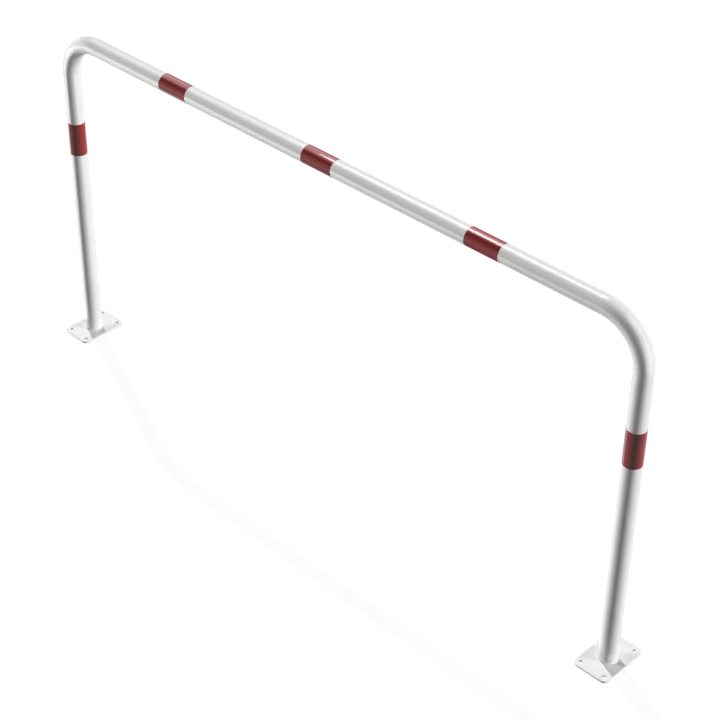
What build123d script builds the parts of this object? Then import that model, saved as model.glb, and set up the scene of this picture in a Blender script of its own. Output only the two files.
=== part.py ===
"""Steel barrier hoop: one bent tube welded to two bolt-down base plates, marked with red film bands.

X runs along the rail, Y across it and Z up. The origin is on the ground, midway between the legs.
"""

import os
from math import degrees

from build123d import *

# Tube, in millimetres
hoop_width = 2000.0  # over the outside of both legs
tube_height = 1000.0  # from the top of the base plates to the top of the rail
tube_diameter = 48.0
tube_wall = 2.5
bend_radius = 120.0  # to the centreline of the tube

# Base plates
plate_width = 100.0  # along the rail
plate_depth = 150.0  # across the rail
plate_thickness = 6.0
plate_corner_radius = 15.0
plate_edge_break = 0.6  # deburred edge under the coating
bolt_hole_diameter = 12.0
bolt_edge_distance = 15.0  # from a hole's centre to the plate's edges
vent_hole_diameter = 14.0  # under the tube's bore, so that it drains and breathes

# Fillet welds round the feet
weld_leg = 3.0  # along the tube and along the plate

# Red film bands, each a strip wrapped once round the tube and lapped over its own start
band_width = 100.0
film_thickness = 0.3
film_adhesive = 0.1  # layer of glue between the tube and the film
film_lap = 12.0  # how far the strip's end runs on over its start
film_ramp = 3.0  # length over which it climbs onto its start
leg_band_gap = 151.0  # straight tube between a bend and the band on its leg
rail_band_gap = 281.0  # straight tube between a bend and the nearest band on the rail

# Derived places
tube_radius = tube_diameter / 2
leg_x = hoop_width / 2 - tube_radius
foot_z = plate_thickness
rail_z = foot_z + tube_height - tube_radius
leg_band_top = rail_z - bend_radius - leg_band_gap
rail_band_x = leg_x - bend_radius - rail_band_gap - band_width / 2


def save(piece, name):
    """Label a finished piece and write it to its own file."""
    piece.part.label = name
    export_step(piece.part, f"parts/{name}.step")


def make_base_plate(x):
    """A plate on the ground, centred under the leg at x."""
    with BuildPart() as plate:
        with BuildSketch(Plane((x, 0, 0))):
            RectangleRounded(plate_width, plate_depth, plate_corner_radius)
        extrude(amount=plate_thickness)
        chamfer(plate.faces().filter_by(Axis.Z).edges(), plate_edge_break)
        bolt_spacing_x = plate_width - 2 * bolt_edge_distance
        bolt_spacing_y = plate_depth - 2 * bolt_edge_distance
        with Locations(Plane((x, 0, plate_thickness))):
            Hole(vent_hole_diameter / 2)
            with GridLocations(bolt_spacing_x, bolt_spacing_y, 2, 2):
                Hole(bolt_hole_diameter / 2)
    return plate


def make_weld_bead(x):
    """A fillet ring in the corner between the leg at x and its plate."""
    root = (tube_radius, 0)
    toe_on_plate = (tube_radius + weld_leg, 0)
    toe_on_tube = (tube_radius, weld_leg)
    with BuildPart() as bead:
        with BuildSketch(Plane((x, 0, foot_z), x_dir=(1, 0, 0), z_dir=(0, -1, 0))):
            with BuildLine():
                Polyline(root, toe_on_plate, toe_on_tube, close=True)
            make_face()
        revolve(axis=Axis((x, 0, foot_z), (0, 0, 1)))
    return bead


def make_film_band(start, along, seam):
    """A strip round the tube from start, running band_width along the tube, lapped on the side of seam."""
    glued_radius = tube_radius + film_adhesive
    film_radius = glued_radius + film_thickness
    lap_angle = degrees(film_lap / glued_radius)
    ramp_angle = degrees(film_ramp / glued_radius)
    with BuildPart() as band:
        with BuildSketch(Plane(start, x_dir=seam, z_dir=along)):
            with BuildLine():
                lap = CenterArc((0, 0), film_radius + film_thickness, 0, lap_angle)
                wrap = CenterArc((0, 0), film_radius, lap_angle, 360 - lap_angle - ramp_angle)
                Line(lap @ 1, wrap @ 0)
                Line(wrap @ 1, lap @ 0)
            make_face()
            Circle(glued_radius, mode=Mode.SUBTRACT)
            with BuildLine():
                strip_start = Line((glued_radius, 0), (film_radius, 0))
                lift_off = PolarLine((0, 0), glued_radius, -ramp_angle, mode=Mode.PRIVATE) @ 1
                Polyline(strip_start @ 1, lift_off, strip_start @ 0)
            make_face(mode=Mode.SUBTRACT)
        extrude(amount=band_width)
    return band


os.makedirs("parts", exist_ok=True)

# The hollow tube, swept along its bent centreline from foot to foot
with BuildPart() as hoop_tube:
    with BuildLine(Plane.XZ):
        FilletPolyline(
            (-leg_x, foot_z),
            (-leg_x, rail_z),
            (leg_x, rail_z),
            (leg_x, foot_z),
            radius=bend_radius,
        )
    with BuildSketch(Plane((-leg_x, 0, foot_z))):
        Circle(tube_radius)
        Circle(tube_radius - tube_wall, mode=Mode.SUBTRACT)
    sweep()
save(hoop_tube, "hoop_tube")

# A plate, a weld and a band on each leg
for side, x in {"left": -leg_x, "right": leg_x}.items():
    save(make_base_plate(x), f"{side}_base_plate")
    save(make_weld_bead(x), f"{side}_weld_bead")
    band_foot = (x, 0, leg_band_top - band_width)
    save(make_film_band(band_foot, along=(0, 0, 1), seam=(0, 1, 0)), f"{side}_leg_band")

# Three bands on the rail
for place, x in {"left": -rail_band_x, "middle": 0, "right": rail_band_x}.items():
    band_end = (x - band_width / 2, 0, rail_z)
    save(make_film_band(band_end, along=(1, 0, 0), seam=(0, 0, -1)), f"{place}_rail_band")
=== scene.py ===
"""Looks of the steel barrier hoop: coated tube, welds and plates, red film bands, studio and camera.

Metres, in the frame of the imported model: X along the rail, Y across it, Z up, floor at Z = 0.
"""

import math

import bmesh
import bpy
from mathutils import Matrix, Vector


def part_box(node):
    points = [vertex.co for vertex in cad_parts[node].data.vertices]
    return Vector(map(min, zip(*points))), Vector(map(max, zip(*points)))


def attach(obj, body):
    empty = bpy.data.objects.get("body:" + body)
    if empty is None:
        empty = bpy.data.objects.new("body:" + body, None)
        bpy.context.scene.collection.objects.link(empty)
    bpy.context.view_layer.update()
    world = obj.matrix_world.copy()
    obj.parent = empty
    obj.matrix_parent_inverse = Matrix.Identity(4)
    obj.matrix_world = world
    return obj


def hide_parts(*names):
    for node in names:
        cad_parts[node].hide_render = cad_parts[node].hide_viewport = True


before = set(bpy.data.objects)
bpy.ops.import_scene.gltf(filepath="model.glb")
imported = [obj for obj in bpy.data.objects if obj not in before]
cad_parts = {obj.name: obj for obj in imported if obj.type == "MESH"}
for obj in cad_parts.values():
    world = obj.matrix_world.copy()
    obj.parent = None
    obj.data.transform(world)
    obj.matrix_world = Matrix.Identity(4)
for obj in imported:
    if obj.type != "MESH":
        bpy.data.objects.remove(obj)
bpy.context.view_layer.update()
sides = ("left", "right")

# Tube: the box gives its reach, the rest are its own sizes
tube_low, tube_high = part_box("hoop_tube")
tube_radius = 0.024
tube_wall = 0.0025
bend_radius = 0.120  # to the centreline
foot_z = tube_low.z
rail_z = tube_high.z - tube_radius
leg_x = tube_high.x - tube_radius
round_steps = 96
bend_steps = 36

# Base plates
plate_thickness = foot_z
plate_corner_radius = 0.015
plate_edge_round = 0.0007  # where the coating runs over an edge
plate_edge_support = 0.0004  # flat rim beside the rounded edge, so that the faces shade flat
bolt_hole_radius = 0.006
bolt_edge_distance = 0.015
vent_hole_radius = 0.007
corner_steps = 14
hole_steps = 48
edge_steps = 5

# Fillet welds
weld_leg = 0.003
weld_crown = 0.0004
weld_ripple_pitch = 0.0021
weld_ripple_height = 0.0002
weld_ripple_sweep = 0.9  # how far the ripples trail at the toes, in ripples
weld_ripples = round(2 * math.pi * tube_radius / weld_ripple_pitch)
weld_stop_turn = math.pi / 2  # behind the leg, where the run closes on its start with a lump
weld_stop_length = 0.005
weld_stop_height = 0.0003
weld_ripple_steps = 8
weld_cross_steps = 10

# Finishes: how far along a noise the dark and the light tone lie, and its part that changes the gloss
tone_stops = (0.3, 0.7)
gloss_stops = (0.25, 0.75)

# White powder coat, with noise in waves per metre and depth in metres
coat_dark = (0.845, 0.845, 0.838)
coat_light = (0.872, 0.872, 0.868)
coat_tone_waves = 9.0
coat_gloss_waves = 35.0
coat_roughness = (0.13, 0.17)
coat_ior = 1.5
peel_waves = 420.0
peel_depth = 0.000012

# Red marking film
film_dark = (0.31, 0.016, 0.019)
film_light = (0.37, 0.025, 0.029)
film_bead_waves = 2600.0
film_gloss_waves = 60.0
film_roughness = (0.03, 0.045)
film_ior = 1.45
film_face_waves = 300.0
film_face_depth = 0.000001

# Bare steel of the bore
steel_dark = (0.16, 0.15, 0.145)
steel_light = (0.31, 0.30, 0.29)
steel_tone_waves = 70.0
steel_gloss_waves = 120.0
steel_roughness = (0.45, 0.65)

# Camera, solved from the photo's outline
picture_pixels = 720
focal_pixels = 1816.98
principal_x_pixels = 321.86
principal_y_pixels = 323.31
sensor_width = 36.0
eye = (2.69205, -2.69205, 3.19505)
yaw = math.radians(45.0)
pitch_down = math.radians(35.264)

# Floor: the share of light that it scatters, and its own glow, which only shows it white
floor_reach = 40.0
floor_drop = 0.0002  # below the plates' undersides, so that the two never share a surface
floor_albedo = 0.12
floor_glow = 0.91

# Surroundings as the gloss shows them, with heights in degrees; the camera sees white
backdrop_rise = 14.0  # where the white backdrop ends, at the sides
backdrop_lean = 10.0  # how much higher it reaches in front of the hoop, and lower behind it
backdrop_blend = 5.0
backdrop_tone = 0.8
ceiling_tone = 0.24
ground_start = -41.0  # where the surroundings begin to dim downwards
ground_end = -50.0
ground_share = 0.4  # of the backdrop's tone that is left from there on

# Lamps: the points that they are set out from, and a factor for the panels that only gloss shows
hoop_middle = Vector((0, 0, 0.5))
rail_middle = Vector((0, 0, rail_z))
rail_right = Vector((0.4, 0, rail_z))
left_bend = Vector((-leg_x, 0, rail_z))
face_gain = 200.0


def new_object(name, data):
    thing = bpy.data.objects.new(name, data)
    bpy.context.scene.collection.objects.link(thing)
    return thing


def mesh_from(name, build):
    """A smooth-shaded mesh from bmesh, with its faces turned outwards."""
    bmesh.ops.recalc_face_normals(build, faces=build.faces)
    mesh = bpy.data.meshes.new(name)
    build.to_mesh(mesh)
    build.free()
    mesh.shade_smooth()
    return mesh


def bridge(build, first, second):
    """Faces between two closed rings of as many points; returns them."""
    count = len(first)
    faces = []
    for k in range(count):
        following = (k + 1) % count
        faces.append(build.faces.new((first[k], first[following], second[following], second[k])))
    return faces


# Tube


def tube_stations():
    """Points along the centreline, each with the direction that points out of the bend."""
    left = Vector((-1, 0, 0))
    right = Vector((1, 0, 0))
    stations = [(Vector((-leg_x, 0, foot_z)), left)]
    for side in (-1, 1):
        middle = Vector((side * (leg_x - bend_radius), 0, rail_z - bend_radius))
        for step in range(bend_steps + 1):
            share = step / bend_steps if side < 0 else 1 - step / bend_steps
            turn = share * math.pi / 2
            outward = Vector((side * math.cos(turn), 0, math.sin(turn)))
            stations.append((middle + bend_radius * outward, outward))
    stations.append((Vector((leg_x, 0, foot_z)), right))
    return stations


def add_tube_wall(build, radius):
    """One wall of the tube: its rings at the two feet, and its faces."""
    across = Vector((0, 1, 0))
    rings = []
    for point, outward in tube_stations():
        ring = []
        for step in range(round_steps):
            turn = 2 * math.pi * step / round_steps
            spoke = math.cos(turn) * outward + math.sin(turn) * across
            ring.append(build.verts.new(point + radius * spoke))
        rings.append(ring)
    faces = []
    for first, second in zip(rings, rings[1:]):
        faces += bridge(build, first, second)
    return rings[0], rings[-1], faces


def make_tube(coat, bare_steel):
    build = bmesh.new()
    outer_start, outer_end, _ = add_tube_wall(build, tube_radius)
    inner_start, inner_end, bore = add_tube_wall(build, tube_radius - tube_wall)
    ends = bridge(build, outer_start, inner_start) + bridge(build, outer_end, inner_end)
    for face in bore:
        face.material_index = 1
    end_edges = {edge for face in ends for edge in face.edges}
    for edge in end_edges:
        edge.smooth = False
    tube = new_object("bent_tube", mesh_from("bent_tube", build))
    tube.data.materials.append(coat)
    tube.data.materials.append(bare_steel)
    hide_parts("hoop_tube")
    return tube


# Base plates


def plate_outline(low, high, inset):
    """Corner arcs of a rounded rectangle, drawn in by inset."""
    radius = plate_corner_radius - inset
    points = []
    for corner in range(4):
        x = high.x - plate_corner_radius if corner in (0, 3) else low.x + plate_corner_radius
        y = high.y - plate_corner_radius if corner in (0, 1) else low.y + plate_corner_radius
        for step in range(corner_steps + 1):
            turn = (corner + step / corner_steps) * math.pi / 2
            points.append((x + radius * math.cos(turn), y + radius * math.sin(turn)))
    return points


def hole_outline(x, y, radius):
    turns = [2 * math.pi * step / hole_steps for step in range(hole_steps)]
    return [(x + radius * math.cos(turn), y + radius * math.sin(turn)) for turn in turns]


def edge_profile():
    """Inset and height, from the flat of one face, round two soft edges, to the flat of the other."""
    quarter = [step / edge_steps * math.pi / 2 for step in range(edge_steps + 1)]
    lower = [(1 - math.sin(turn), 1 - math.cos(turn)) for turn in quarter]
    rounds = [(plate_edge_round * inset, plate_edge_round * height) for inset, height in lower]
    rounds.insert(0, (plate_edge_round + plate_edge_support, 0.0))
    return rounds + [(inset, plate_thickness - height) for inset, height in reversed(rounds)]


def make_plate(side, coat):
    low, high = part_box(f"{side}_base_plate")
    middle = (low + high) / 2
    holes = [(middle.x, middle.y, vent_hole_radius)]
    for x in (low.x + bolt_edge_distance, high.x - bolt_edge_distance):
        for y in (low.y + bolt_edge_distance, high.y - bolt_edge_distance):
            holes.append((x, y, bolt_hole_radius))
    profile = edge_profile()
    walls = [[plate_outline(low, high, inset) for inset, _ in profile]]
    for x, y, radius in holes:
        walls.append([hole_outline(x, y, radius + inset) for inset, _ in profile])
    build = bmesh.new()
    borders = {0: [], -1: []}
    for wall in walls:
        rings = []
        for outline, (_, height) in zip(wall, profile):
            rings.append([build.verts.new((x, y, height)) for x, y in outline])
        for first, second in zip(rings, rings[1:]):
            bridge(build, first, second)
        for which, edges in borders.items():
            ring = rings[which]
            edges += [build.edges.get((ring[k - 1], ring[k])) for k in range(len(ring))]
    for edges in borders.values():
        bmesh.ops.triangle_fill(build, use_beauty=True, edges=edges)
    plate = new_object(f"{side}_plate", mesh_from(f"{side}_plate", build))
    plate.data.materials.append(coat)
    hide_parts(f"{side}_base_plate")
    return plate


# Fillet welds


def weld_surface(turn, share):
    """Radius and height of the bead's face, share of the way from its toe on the plate up to the tube."""
    bow = math.sin(math.pi * share)
    wave = turn / (2 * math.pi) * weld_ripples + weld_ripple_sweep * (1 - bow)
    ripple = weld_ripple_height * abs(math.sin(math.pi * wave))
    from_stop = math.remainder(turn - weld_stop_turn, 2 * math.pi) * tube_radius
    lump = weld_stop_height * math.exp(-((from_stop / weld_stop_length) ** 2))
    proud = bow * (weld_crown + ripple + lump) / math.sqrt(2)
    return tube_radius + (1 - share) * weld_leg + proud, foot_z + share * weld_leg + proud


def make_weld(side, coat):
    low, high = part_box(f"{side}_weld_bead")
    x = math.copysign(leg_x, low.x + high.x)
    steps = weld_ripples * weld_ripple_steps
    turns = [2 * math.pi * step / steps for step in range(steps)]
    build = bmesh.new()
    rings = []
    for cross in range(weld_cross_steps + 1):
        ring = []
        for turn in turns:
            radius, height = weld_surface(turn, cross / weld_cross_steps)
            ring.append(build.verts.new((x + radius * math.cos(turn), radius * math.sin(turn), height)))
        rings.append(ring)
    root = []
    for turn in turns:
        point = (x + tube_radius * math.cos(turn), tube_radius * math.sin(turn), foot_z)
        root.append(build.verts.new(point))
    rings.append(root)
    rings.append(rings[0])
    for first, second in zip(rings, rings[1:]):
        bridge(build, first, second)
    weld = new_object(f"{side}_weld", mesh_from(f"{side}_weld", build))
    weld.data.materials.append(coat)
    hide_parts(f"{side}_weld_bead")
    return weld


# Nodes that materials, surroundings and lamps share


def add_math(tree, operation, first, second):
    """One step of arithmetic on two sockets, or on a socket and a number."""
    node = tree.nodes.new("ShaderNodeMath")
    node.operation = operation
    tree.links.new(first, node.inputs[0])
    if isinstance(second, float):
        node.inputs[1].default_value = second
    else:
        tree.links.new(second, node.inputs[1])
    return node.outputs[0]


def add_range(tree, value, start, end, low=0.0, high=1.0, shape="LINEAR"):
    """The value's stretch from start to end, laid out from low to high."""
    node = tree.nodes.new("ShaderNodeMapRange")
    node.interpolation_type = shape
    node.inputs["From Min"].default_value = start
    node.inputs["From Max"].default_value = end
    node.inputs["To Min"].default_value = low
    node.inputs["To Max"].default_value = high
    tree.links.new(value, node.inputs["Value"])
    return node.outputs["Result"]


# Materials


def new_material(name):
    material = bpy.data.materials.new(name)
    material.use_nodes = True
    return material, material.node_tree, material.node_tree.nodes["Principled BSDF"]


def add_noise(tree, waves, detail, roughness=0.5):
    """Noise in object space, in waves per metre."""
    place = tree.nodes.new("ShaderNodeTexCoord")
    noise = tree.nodes.new("ShaderNodeTexNoise")
    noise.inputs["Scale"].default_value = waves
    noise.inputs["Detail"].default_value = detail
    noise.inputs["Roughness"].default_value = roughness
    tree.links.new(place.outputs["Object"], noise.inputs["Vector"])
    return noise.outputs["Fac"]


def add_tone(tree, noise, dark, light):
    """A colour that drifts from dark to light along a noise."""
    ramp = tree.nodes.new("ShaderNodeValToRGB")
    for stop, position, colour in zip(ramp.color_ramp.elements, tone_stops, (dark, light)):
        stop.position = position
        stop.color = (*colour, 1.0)
    tree.links.new(noise, ramp.inputs["Fac"])
    return ramp.outputs["Color"]


def add_bump(tree, height, depth):
    bump = tree.nodes.new("ShaderNodeBump")
    bump.inputs["Distance"].default_value = depth
    tree.links.new(height, bump.inputs["Height"])
    return bump.outputs["Normal"]


def make_coat():
    """White gloss powder coat: a faint drift in tone, gloss that wanders, and orange peel."""
    material, tree, shader = new_material("white_powder_coat")
    tone = add_tone(tree, add_noise(tree, coat_tone_waves, detail=4.0), coat_dark, coat_light)
    tree.links.new(tone, shader.inputs["Base Color"])
    gloss = add_range(tree, add_noise(tree, coat_gloss_waves, detail=3.0), *gloss_stops, *coat_roughness)
    tree.links.new(gloss, shader.inputs["Roughness"])
    shader.inputs["IOR"].default_value = coat_ior
    peel = add_bump(tree, add_noise(tree, peel_waves, detail=1.0), peel_depth)
    tree.links.new(peel, shader.inputs["Normal"])
    return material


def make_film():
    """Red marking film: fine beads under a smooth clear face."""
    material, tree, shader = new_material("red_film")
    beads = add_noise(tree, film_bead_waves, detail=2.0, roughness=0.6)
    tree.links.new(add_tone(tree, beads, film_dark, film_light), shader.inputs["Base Color"])
    gloss = add_range(tree, add_noise(tree, film_gloss_waves, detail=3.0), *gloss_stops, *film_roughness)
    tree.links.new(gloss, shader.inputs["Roughness"])
    shader.inputs["IOR"].default_value = film_ior
    face = add_bump(tree, add_noise(tree, film_face_waves, detail=1.0), film_face_depth)
    tree.links.new(face, shader.inputs["Normal"])
    return material


def make_bare_steel():
    """Bare grey steel of the bore, which the coating doesn't reach."""
    material, tree, shader = new_material("bare_steel")
    skin = add_noise(tree, steel_tone_waves, detail=6.0, roughness=0.6)
    tree.links.new(add_tone(tree, skin, steel_dark, steel_light), shader.inputs["Base Color"])
    shader.inputs["Metallic"].default_value = 1.0
    gloss = add_range(tree, add_noise(tree, steel_gloss_waves, detail=4.0), *gloss_stops, *steel_roughness)
    tree.links.new(gloss, shader.inputs["Roughness"])
    return material


# Studio


def add_background_masks(tree):
    """Two masks, for rays that see the surroundings straight from the camera and for those in gloss."""
    path = tree.nodes.new("ShaderNodeLightPath")
    mirrored = add_math(tree, "MAXIMUM", path.outputs["Is Glossy Ray"], path.outputs["Is Transmission Ray"])
    return path.outputs["Is Camera Ray"], mirrored


def sine(degrees):
    """How high a direction reaches that rises by this angle."""
    return math.sin(math.radians(degrees))


def make_world():
    """White to the camera; in gloss a white backdrop between a dim ceiling and dim ground."""
    world = bpy.data.worlds.new("surroundings")
    bpy.context.scene.world = world
    world.use_nodes = True
    tree = world.node_tree
    tree.nodes.clear()
    place = tree.nodes.new("ShaderNodeTexCoord")
    height = tree.nodes.new("ShaderNodeVectorMath")
    height.operation = "DOT_PRODUCT"
    lean = math.radians(backdrop_lean)
    height.inputs[1].default_value = (0.0, math.sin(lean), math.cos(lean))
    tree.links.new(place.outputs["Generated"], height.inputs[0])
    edge_low = sine(backdrop_rise - backdrop_blend)
    edge_high = sine(backdrop_rise + backdrop_blend)
    shade = add_range(tree, height.outputs["Value"], edge_low, edge_high, backdrop_tone, ceiling_tone)
    split = tree.nodes.new("ShaderNodeSeparateXYZ")
    tree.links.new(place.outputs["Generated"], split.inputs[0])
    ground = add_range(tree, split.outputs["Z"], sine(ground_end), sine(ground_start), low=ground_share)
    seen, mirrored = add_background_masks(tree)
    reflected = add_math(tree, "MULTIPLY", add_math(tree, "MULTIPLY", shade, ground), mirrored)
    background = tree.nodes.new("ShaderNodeBackground")
    background.inputs["Color"].default_value = (1.0, 1.0, 1.0, 1.0)
    tree.links.new(add_math(tree, "MAXIMUM", seen, reflected), background.inputs["Strength"])
    output = tree.nodes.new("ShaderNodeOutputWorld")
    tree.links.new(background.outputs[0], output.inputs["Surface"])


def make_floor_material():
    """Pale from above, with a glow that only eyes and gloss see, and clear from below."""
    material = bpy.data.materials.new("floor")
    material.use_nodes = True
    tree = material.node_tree
    tree.nodes.clear()
    matt = tree.nodes.new("ShaderNodeBsdfDiffuse")
    matt.inputs["Color"].default_value = (floor_albedo, floor_albedo, floor_albedo, 1.0)
    glow = tree.nodes.new("ShaderNodeEmission")
    seen, mirrored = add_background_masks(tree)
    shown = add_math(tree, "MULTIPLY", add_math(tree, "MAXIMUM", seen, mirrored), floor_glow)
    tree.links.new(shown, glow.inputs["Strength"])
    both = tree.nodes.new("ShaderNodeAddShader")
    tree.links.new(matt.outputs[0], both.inputs[0])
    tree.links.new(glow.outputs[0], both.inputs[1])
    facing = tree.nodes.new("ShaderNodeNewGeometry")
    clear = tree.nodes.new("ShaderNodeBsdfTransparent")
    sided = tree.nodes.new("ShaderNodeMixShader")
    tree.links.new(facing.outputs["Backfacing"], sided.inputs["Fac"])
    tree.links.new(both.outputs[0], sided.inputs[1])
    tree.links.new(clear.outputs[0], sided.inputs[2])
    output = tree.nodes.new("ShaderNodeOutputMaterial")
    tree.links.new(sided.outputs[0], output.inputs["Surface"])
    return material


def make_floor():
    """A floor that takes the hoop's shadow and lets the light from below through."""
    mesh = bpy.data.meshes.new("floor")
    signs = ((-1, -1), (1, -1), (1, 1), (-1, 1))
    corners = [(x * floor_reach, y * floor_reach, -floor_drop) for x, y in signs]
    mesh.from_pydata(corners, [], [(0, 1, 2, 3)])
    mesh.materials.append(make_floor_material())
    floor = new_object("floor", mesh)
    floor.visible_shadow = False
    floor.visible_diffuse = False
    floor.visible_glossy = False
    return floor


# Lamps


def direction(azimuth, elevation):
    """Unit vector towards a lamp: azimuth from -Y towards +X, both in degrees."""
    turn = math.radians(azimuth)
    rise = math.radians(elevation)
    return Vector((math.cos(rise) * math.sin(turn), -math.cos(rise) * math.cos(turn), math.sin(rise)))


def aim(lamp, towards, middle):
    """Set a lamp at middle, shining against towards, with its width in line with the rail."""
    width = (Vector((1, 0, 0)) - towards.x * towards).normalized()
    height = towards.cross(width)
    turn = Matrix((width, height, towards)).transposed().to_4x4()
    lamp.matrix_world = Matrix.Translation(middle) @ turn


def make_far_lamp(name, azimuth, elevation, spread, level):
    """Broad light from far off; a white that faces it renders at about level."""
    data = bpy.data.lights.new(name, "SUN")
    data.angle = math.radians(spread)
    data.energy = level * math.pi
    lamp = new_object(name, data)
    aim(lamp, direction(azimuth, elevation), hoop_middle)
    return lamp


def add_soft_edges(data, edge):
    """Let a panel's light fade towards its border, over a share of its width and height."""
    data.use_nodes = True
    tree = data.node_tree
    place = tree.nodes.new("ShaderNodeNewGeometry")
    split = tree.nodes.new("ShaderNodeSeparateXYZ")
    tree.links.new(place.outputs["Parametric"], split.inputs[0])
    fades = []
    for axis in ("X", "Y"):
        for start, end in ((0.0, edge), (1.0, 1.0 - edge)):
            fades.append(add_range(tree, split.outputs[axis], start, end, shape="SMOOTHSTEP"))
    strength = fades[0]
    for fade in fades[1:]:
        strength = add_math(tree, "MULTIPLY", strength, fade)
    tree.links.new(strength, tree.nodes["Emission"].inputs["Strength"])


def make_panel(name, centre, azimuth, elevation, distance, half_width, half_height, level, edge=0.0):
    """A soft box that covers twice these angles, seen from centre, and lights a white there to level."""
    data = bpy.data.lights.new(name, "AREA")
    data.shape = "RECTANGLE"
    data.size = 2 * distance * math.tan(math.radians(half_width))
    data.size_y = 2 * distance * math.tan(math.radians(half_height))
    data.energy = level * math.pi**2 * distance**2
    if edge > 0:
        add_soft_edges(data, edge)
    lamp = new_object(name, data)
    towards = direction(azimuth, elevation)
    aim(lamp, towards, centre + distance * towards)
    return lamp


def brighten_face(data):
    """Move a panel's strength from its lamp to its face, so that light samples go to the matt lamps."""
    data.energy /= face_gain
    data.use_nodes = True
    tree = data.node_tree
    face = tree.nodes["Emission"].inputs["Strength"]
    if face.is_linked:
        tree.links.new(add_math(tree, "MULTIPLY", face.links[0].from_socket, face_gain), face)
    else:
        face.default_value = face_gain


def make_matt_lamps(white, red):
    """Lamps that shade the hoop and don't show in its gloss."""
    low = make_panel(
        "low_left_lamp", hoop_middle, azimuth=-56.0, elevation=-29.0, distance=20.0,
        half_width=13.0, half_height=13.0, level=0.54,
    )
    left = make_far_lamp("left_lamp", azimuth=-60.0, elevation=25.0, spread=20.0, level=0.54)
    key = make_far_lamp("top_key", azimuth=-113.0, elevation=53.0, spread=2.5, level=0.6)
    right = make_far_lamp("right_lamp", azimuth=115.0, elevation=12.0, spread=25.0, level=1.09)
    right_on_film = make_panel(
        "right_lamp_on_film", hoop_middle, azimuth=128.0, elevation=30.0, distance=40.0,
        half_width=11.0, half_height=11.0, level=1.40,
    )
    for lamp in (low, left, key, right, right_on_film):
        lamp.visible_glossy = False
    for lamp, group in ((key, white), (right, white), (right_on_film, red)):
        lamp.light_linking.receiver_collection = group


def make_coat_panels():
    """What the gloss of the white coat shows."""
    return [
        make_panel(
            "low_gloss_on_coat", hoop_middle, azimuth=-48.0, elevation=-17.5, distance=14.0,
            half_width=34.0, half_height=27.0, level=2.05, edge=0.45,
        ),
        make_panel(
            "left_gloss_on_coat", hoop_middle, azimuth=-77.0, elevation=-37.5, distance=14.3,
            half_width=26.0, half_height=21.0, level=0.42, edge=0.45,
        ),
        make_panel(
            "under_gloss_on_coat", hoop_middle, azimuth=0.0, elevation=-90.0, distance=16.0,
            half_width=45.0, half_height=45.0, level=0.76, edge=0.15,
        ),
        make_panel(
            "right_gloss_on_coat", hoop_middle, azimuth=92.0, elevation=18.0, distance=15.0,
            half_width=58.0, half_height=42.0, level=7.0, edge=0.25,
        ),
        make_panel(
            "left_bend_shine_on_coat", left_bend, azimuth=-69.0, elevation=-16.0, distance=25.0,
            half_width=13.0, half_height=9.0, level=0.13, edge=0.25,
        ),
        make_panel(
            "top_glow_on_coat", rail_middle, azimuth=-99.0, elevation=54.5, distance=29.0,
            half_width=29.0, half_height=35.0, level=1.53, edge=0.45,
        ),
        make_panel(
            "top_shine_on_coat", rail_right, azimuth=-114.7, elevation=57.8, distance=60.0,
            half_width=9.2, half_height=12.7, level=0.22,
        ),
    ]


def make_film_panels():
    """What the gloss of the red film shows."""
    return [
        make_panel(
            "low_gloss_on_film", hoop_middle, azimuth=-42.0, elevation=-12.0, distance=13.7,
            half_width=27.0, half_height=16.0, level=0.12, edge=0.45,
        ),
        make_panel(
            "left_gloss_on_film", hoop_middle, azimuth=-88.0, elevation=-33.0, distance=14.6,
            half_width=20.0, half_height=10.0, level=0.16, edge=0.35,
        ),
        make_panel(
            "top_glow_on_film", rail_middle, azimuth=-118.8, elevation=45.9, distance=30.0,
            half_width=18.9, half_height=39.8, level=1.05, edge=0.3,
        ),
        make_panel(
            "top_shine_on_film", rail_right, azimuth=-114.7, elevation=57.8, distance=61.0,
            half_width=9.2, half_height=12.7, level=0.75,
        ),
    ]


def make_lamps(white, red):
    """Matt lamps, and panels near the same places that only show in the gloss of one finish."""
    make_matt_lamps(white, red)
    for panels, group in ((make_coat_panels(), white), (make_film_panels(), red)):
        for panel in panels:
            brighten_face(panel.data)
            panel.visible_diffuse = False
            panel.light_linking.receiver_collection = group


def gather(name, things):
    """A collection that a lamp can be told to light."""
    group = bpy.data.collections.new(name)
    for thing in things:
        group.objects.link(thing)
    return group


def make_camera():
    data = bpy.data.cameras.new("camera")
    data.sensor_width = sensor_width
    data.lens = focal_pixels / picture_pixels * sensor_width
    data.shift_x = 0.5 - principal_x_pixels / picture_pixels
    data.shift_y = principal_y_pixels / picture_pixels - 0.5
    camera = new_object("camera", data)
    camera.location = eye
    camera.rotation_euler = (math.pi / 2 - pitch_down, 0.0, yaw)
    bpy.context.scene.camera = camera


coat = make_coat()
film = make_film()
pieces = [make_tube(coat, make_bare_steel())]
pieces += [make_plate(side, coat) for side in sides]
pieces += [make_weld(side, coat) for side in sides]
for piece in pieces:
    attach(piece, "root")
bands = [node for name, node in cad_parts.items() if name.endswith("band")]
for band in bands:
    band.data.materials.clear()
    band.data.materials.append(film)

make_world()
floor = make_floor()
make_lamps(gather("white", pieces + [floor]), gather("red", bands))
make_camera()
bpy.context.scene.view_settings.view_transform = "Standard"
